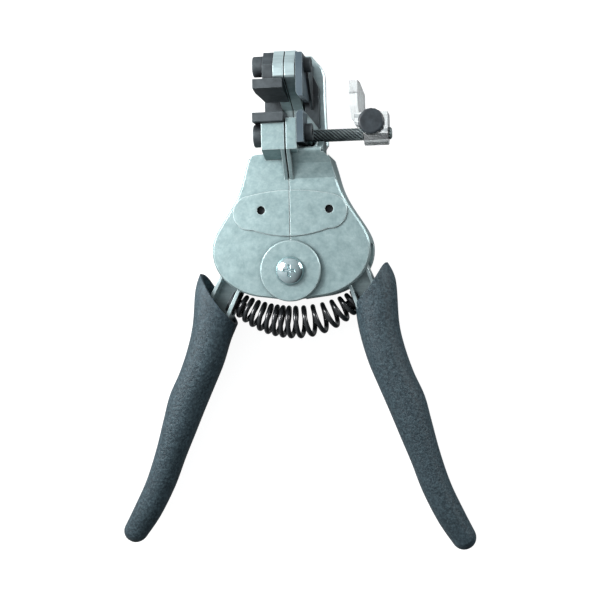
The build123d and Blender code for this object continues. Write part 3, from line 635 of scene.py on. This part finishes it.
def spring_centre(t):
    """A point on the spring's sagging centre line and the way across it, for t from -1 to 1."""
    rise = SPRING_END.y - SPRING_SAG
    arc_r = (SPRING_END.x ** 2 + rise ** 2) / (2 * rise)
    half = atan2(SPRING_END.x, arc_r - rise)
    angle = half * t
    place = turned(arc_r * sin(angle), SPRING_SAG + arc_r * (1 - cos(angle)))
    return Vector((*place, MID)), Vector((*turned(-sin(angle), cos(angle)), 0))


def spring_line():
    """The wire's helix: small at its ends, bulging in the middle, closer wound on the left."""
    steps = int(SPRING_COILS * STEPS_PER_COIL)
    line = []
    for i in range(steps + 1):
        turn = i / steps
        crowding = SPRING_LEAN * sin(pi * turn) ** 2 + SPRING_CROWD * sin(4 * pi * turn)
        t = -1 + 2 * (turn - crowding)
        place, across = spring_centre(t)
        radius = SPRING_END_R + SPRING_BULGE * sin(pi * (t + 1) / 2) ** 0.9
        angle = 2 * pi * SPRING_COILS * turn
        line.append(place + (across * cos(angle) + Z_WAY * sin(angle)) * radius)
    return line


def add_spring():
    """Four stretches of one helix, cut at the middle and to each side."""
    line = spring_line()
    names = ["left_outer", "left_inner", "right_inner", "right_outer"]
    ends = [0]
    for cut in (-SPRING_CUT, 0.0, SPRING_CUT):
        ends.append(max(i for i, p in enumerate(line) if p.x <= cut) + 1)
    ends.append(len(line) - 1)
    rings = tube_rings(line, WIRE_R, WIRE_SIDES)
    for name, first, last in zip(names, ends[:-1], ends[1:]):
        points, faces = skin_rings(rings[first:last + 1])
        piece = make_piece(f"handle_spring_{name}", points, faces, "spring_steel", None)
        if "inner" in name:
            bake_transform(piece)
        else:
            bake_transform(piece)
        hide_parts("handle_spring")


# ------------------------------------------------------------------ knurled stop rod
KNURL_DEPTH = 0.45
KNURL_STARTS = 10
KNURL_FROM = 8.4                # the plain stub ends and the knurl begins here
KNURL_STEP = 0.17               # spacing of the rings that carry the knurl
CROSS_CUT = 0.35                # depth of the faint knurl the other way, as a share of the first
STUB_R = 1.5
ROD_SIDES = 132


def knurl_cut(angle, along, radius):
    """How deep the knurl is at a place on the rod, from 0 on a ridge to 1 in a groove."""
    phase = KNURL_STARTS * angle
    run = KNURL_STARTS * along / radius
    return max(sin((phase - run) / 2) ** 4, CROSS_CUT * sin((phase + run) / 2) ** 6)


def add_stop_rod():
    low, high = mm_box("stop_rod")
    radius = (high[2] - low[2]) / 2
    cy, cz = (high[1] + low[1]) / 2, (high[2] + low[2]) / 2
    length = high[0] - KNURL_FROM
    rows = int(length / KNURL_STEP)

    def ring(x, r):
        return round_ring(Vector((x, cy, cz)), Y_WAY, Z_WAY, r, ROD_SIDES)

    rings = [ring(low[0], STUB_R - 0.2), ring(low[0] + 0.2, STUB_R), ring(KNURL_FROM, STUB_R),
             ring(KNURL_FROM, radius - 0.3)]
    for i in range(rows + 1):
        x = KNURL_FROM + 0.3 + (length - 0.9) * i / rows
        row = []
        for k in range(ROD_SIDES):
            angle = 2 * pi * k / ROD_SIDES
            r = radius - KNURL_DEPTH * knurl_cut(angle, x - KNURL_FROM, radius)
            row.append(Vector((x, cy + r * cos(angle), cz + r * sin(angle))))
        rings.append(row)
    rings += [ring(high[0] - 0.4, radius - 0.2), ring(high[0], radius - 0.7)]
    points, faces = skin_rings(rings)
    piece = make_piece("stop_rod_knurled", points, faces, "knurled_steel", "stop_rod")
    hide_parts("stop_rod")


# ------------------------------------------------------------------ pivot screw
CROSS_REACH, CROSS_HALF, CROSS_DEPTH = 2.1, 0.42, 1.1
SCREW_HEAD_T, SCREW_LIP, SCREW_SHANK_R = 3.2, 0.6, 2.4
SCREW_RINGS = 64
SCREW_SIDES = 128


def step_down(value, edge, width):
    """1 below the edge and 0 above it, with a smooth step of the given width."""
    s = min(max((edge - value) / width + 0.5, 0), 1)
    return s * s * (3 - 2 * s)


def add_pivot_screw():
    """A domed pan head with a small cross recess, on its shank."""
    low, high = mm_box("pivot_screw")
    reach = (high[0] - low[0]) / 2
    cx, cy = (high[0] + low[0]) / 2, (high[1] + low[1]) / 2
    base = high[2] - SCREW_HEAD_T

    def ring(r, z):
        return round_ring(Vector((cx, cy, z)), X_WAY, Y_WAY, r, SCREW_SIDES)

    rings = [ring(SCREW_SHANK_R, low[2]), ring(SCREW_SHANK_R, base), ring(reach - 0.05, base),
             ring(reach, base + 0.1)]
    for i in range(SCREW_RINGS + 1):
        r = reach * (1 - i / SCREW_RINGS * 0.995)
        dome = base + SCREW_LIP + (SCREW_HEAD_T - SCREW_LIP) * (1 - (r / reach) ** 2) ** 0.5
        row = []
        for p in ring(r, dome):
            x, y = abs(p.x - cx), abs(p.y - cy)
            arm = step_down(min(x, y), CROSS_HALF, 0.22) * step_down(max(x, y), CROSS_REACH, 0.5)
            row.append(p - Vector((0, 0, CROSS_DEPTH * arm)))
        rings.append(row)
    points, faces = skin_rings(rings)
    piece = make_piece("pivot_screw_head", points, faces, "bright_screw", "pivot")
    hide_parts("pivot_screw")


# ------------------------------------------------------------------ the object
add_camera()
add_room()
add_lights()
add_floor()
finish_cad_nodes()
for name in ("left", "right"):
    add_grip(name)
add_spring()
add_stop_rod()
add_pivot_screw()
